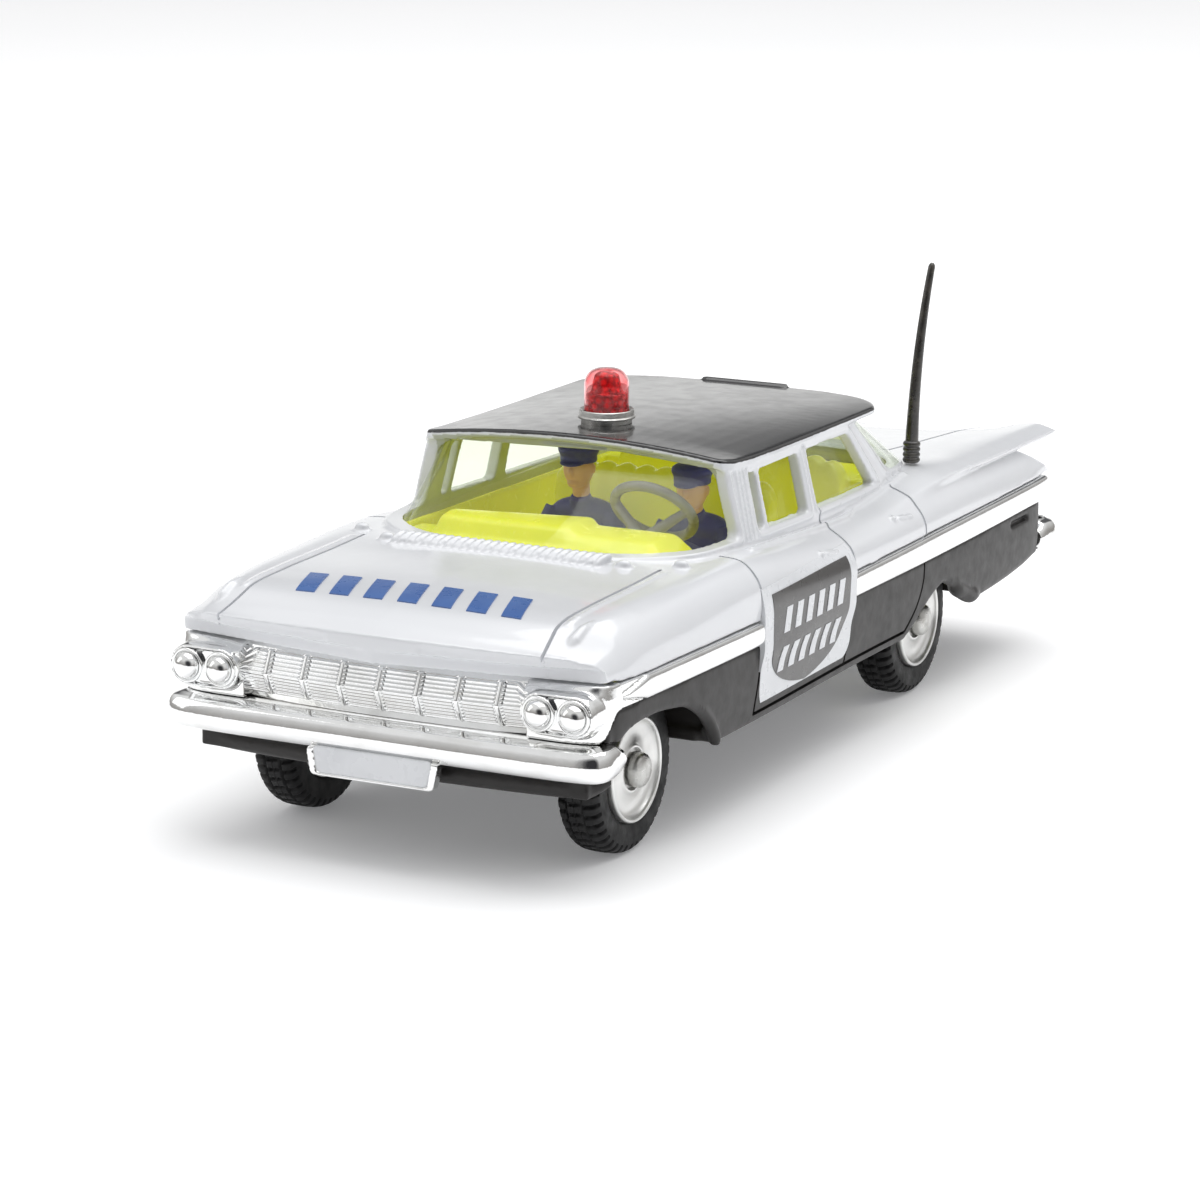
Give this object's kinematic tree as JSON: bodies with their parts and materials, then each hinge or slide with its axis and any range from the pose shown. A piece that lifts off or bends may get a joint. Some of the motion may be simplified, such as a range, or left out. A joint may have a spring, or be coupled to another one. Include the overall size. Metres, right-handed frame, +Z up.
{
  "type": "toy patrol saloon car",
  "caption": "Die-cast toy saloon car with flat tail wings, roof beacon, whip aerial, cabin with figures, sprung axles and free-spinning rubber-tyred wheels.",
  "frame": {"origin": "on the ground under the middle of the car's length and width", "axes": "-Y is the way the car faces, +X is the car's left side, +Z is up"},
  "size_m": [0.0442, 0.1089, 0.0433],
  "materials": {
    "white_paint": "gloss white enamel on cast metal, roof in gloss black",
    "black_paint": "satin black enamel on cast metal",
    "plated": "vacuum-plated, bright",
    "lamp_red": "gloss red",
    "clear": "clear moulded plastic",
    "lime_plastic": "lime yellow moulding",
    "grey_plastic": "silver-grey moulding",
    "figure": "navy uniform with painted face",
    "turned_steel": "turned bare metal",
    "spun_metal": "spun bare metal",
    "beacon_red": "clear red dome",
    "aerial_plastic": "gloss black-brown",
    "tyre_rubber": "dull black rubber"
  },
  "bodies": {
    "root": {"upper_body": "white_paint", "lower_body": "black_paint", "chrome_trim": "plated", "front_bumper": "plated", "rear_bumper": "plated", "tail_lamp_left": "lamp_red", "tail_lamp_right": "lamp_red", "glazing": "clear", "interior": "lime_plastic", "steering_wheel": "grey_plastic", "driver": "figure", "passenger": "figure", "beacon_ring": "turned_steel", "beacon_lens": "beacon_red", "aerial": "aerial_plastic", "front_spring": "turned_steel", "rear_spring": "turned_steel", "rivet_front": "turned_steel", "rivet_rear": "turned_steel"},
    "front_axle": {"front_axle": "turned_steel"},
    "rear_axle": {"rear_axle": "turned_steel"},
    "wheel_front_left": {"hub_front_left": "spun_metal", "tyre_front_left": "tyre_rubber"},
    "wheel_front_right": {"hub_front_right": "spun_metal", "tyre_front_right": "tyre_rubber"},
    "wheel_rear_left": {"hub_rear_left": "spun_metal", "tyre_rear_left": "tyre_rubber"},
    "wheel_rear_right": {"hub_rear_right": "spun_metal", "tyre_rear_right": "tyre_rubber"}
  },
  "joints": [
    {"name": "front_suspension", "type": "slide", "parent": "root", "child": "front_axle", "axis": [0, 0, 1], "range_m": [0, 0.001], "stiffness_N_per_m": 900, "springref_m": -0.002, "deforming": ["front_spring"]},
    {"name": "rear_suspension", "type": "slide", "parent": "root", "child": "rear_axle", "axis": [0, 0, 1], "range_m": [0, 0.001], "stiffness_N_per_m": 900, "springref_m": -0.002, "deforming": ["rear_spring"]},
    {"name": "spin_front_left", "type": "hinge", "parent": "front_axle", "child": "wheel_front_left", "pos_m": [0.0155, -0.0385, 0.00764], "axis": [1, 0, 0], "continuous": true},
    {"name": "spin_front_right", "type": "hinge", "parent": "front_axle", "child": "wheel_front_right", "pos_m": [-0.0155, -0.0385, 0.00764], "axis": [1, 0, 0], "continuous": true},
    {"name": "spin_rear_left", "type": "hinge", "parent": "rear_axle", "child": "wheel_rear_left", "pos_m": [0.0155, 0.02425, 0.00764], "axis": [1, 0, 0], "continuous": true},
    {"name": "spin_rear_right", "type": "hinge", "parent": "rear_axle", "child": "wheel_rear_right", "pos_m": [-0.0155, 0.02425, 0.00764], "axis": [1, 0, 0], "continuous": true}
  ]
}
